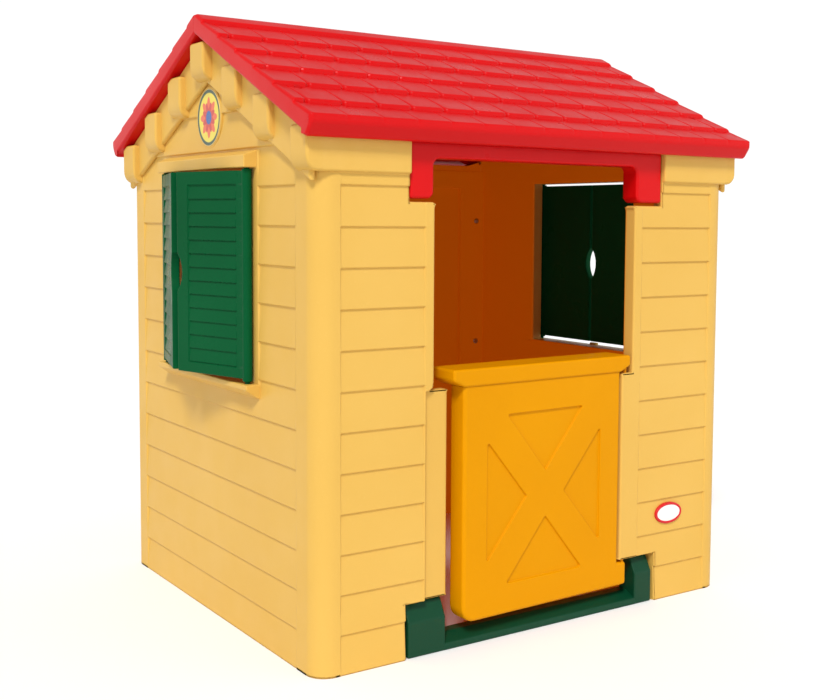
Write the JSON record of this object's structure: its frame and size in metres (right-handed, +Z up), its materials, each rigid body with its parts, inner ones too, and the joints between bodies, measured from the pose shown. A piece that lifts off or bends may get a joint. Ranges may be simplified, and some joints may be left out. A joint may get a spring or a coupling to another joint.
{
  "type": "toddler playhouse",
  "caption": "Free-standing moulded plastic playhouse with a pitched tile-patterned roof, clapboard walls, a hinged half door with a ledge, and windows with swinging louvred shutters.",
  "frame": {"origin": "on the ground at the centre of the doorway, on the threshold's underside", "axes": "+X to the right along the front wall, +Y into the house, +Z up"},
  "size_m": [1.0728, 0.954, 1.17],
  "materials": {
    "wall_plastic": "satin moulded plastic",
    "roof_plastic": "semi-gloss moulded plastic",
    "door_plastic": "semi-gloss moulded plastic",
    "green_plastic": "gloss moulded plastic",
    "pin_plastic": "moulded",
    "printed_disc": "printed vinyl",
    "badge_plastic": "gloss",
    "screw_steel": "zinc plated"
  },
  "bodies": {
    "house": {"left_gable_wall": "wall_plastic", "right_gable_wall": "wall_plastic", "back_wall": "wall_plastic", "roof_front_panel": "roof_plastic", "roof_rear_panel": "roof_plastic", "door_header": "roof_plastic", "threshold": "green_plastic", "door_hinge_pins": "pin_plastic", "left_rosette": "printed_disc", "right_rosette": "printed_disc", "front_badge": "badge_plastic", "back_wall_screws": "screw_steel", "header_screws": "screw_steel", "threshold_screws": "screw_steel", "roof_screws": "screw_steel"},
    "door": {"door_panel": "door_plastic", "door_shelf": "door_plastic"},
    "left_front_shutter": {"left_front_shutter": "green_plastic"},
    "left_rear_shutter": {"left_rear_shutter": "green_plastic"},
    "right_front_shutter": {"right_front_shutter": "green_plastic"},
    "right_rear_shutter": {"right_rear_shutter": "green_plastic"}
  },
  "joints": [
    {"name": "door_hinge", "type": "hinge", "parent": "house", "child": "door", "pos_m": [0.212, -0.017, 0], "axis": [0, 0, 1], "range_deg": [-2, 100]},
    {"name": "left_front_shutter_hinge", "type": "hinge", "parent": "house", "child": "left_front_shutter", "pos_m": [-0.497, 0.2175, 0], "axis": [0, 0, 1], "range_deg": [-16, 149]},
    {"name": "left_rear_shutter_hinge", "type": "hinge", "parent": "house", "child": "left_rear_shutter", "pos_m": [-0.497, 0.6095, 0], "axis": [0, 0, -1], "range_deg": [-16, 149]},
    {"name": "right_front_shutter_hinge", "type": "hinge", "parent": "house", "child": "right_front_shutter", "pos_m": [0.497, 0.2175, 0], "axis": [0, 0, -1], "range_deg": [0, 165]},
    {"name": "right_rear_shutter_hinge", "type": "hinge", "parent": "house", "child": "right_rear_shutter", "pos_m": [0.497, 0.6095, 0], "axis": [0, 0, 1], "range_deg": [0, 165]}
  ]
}
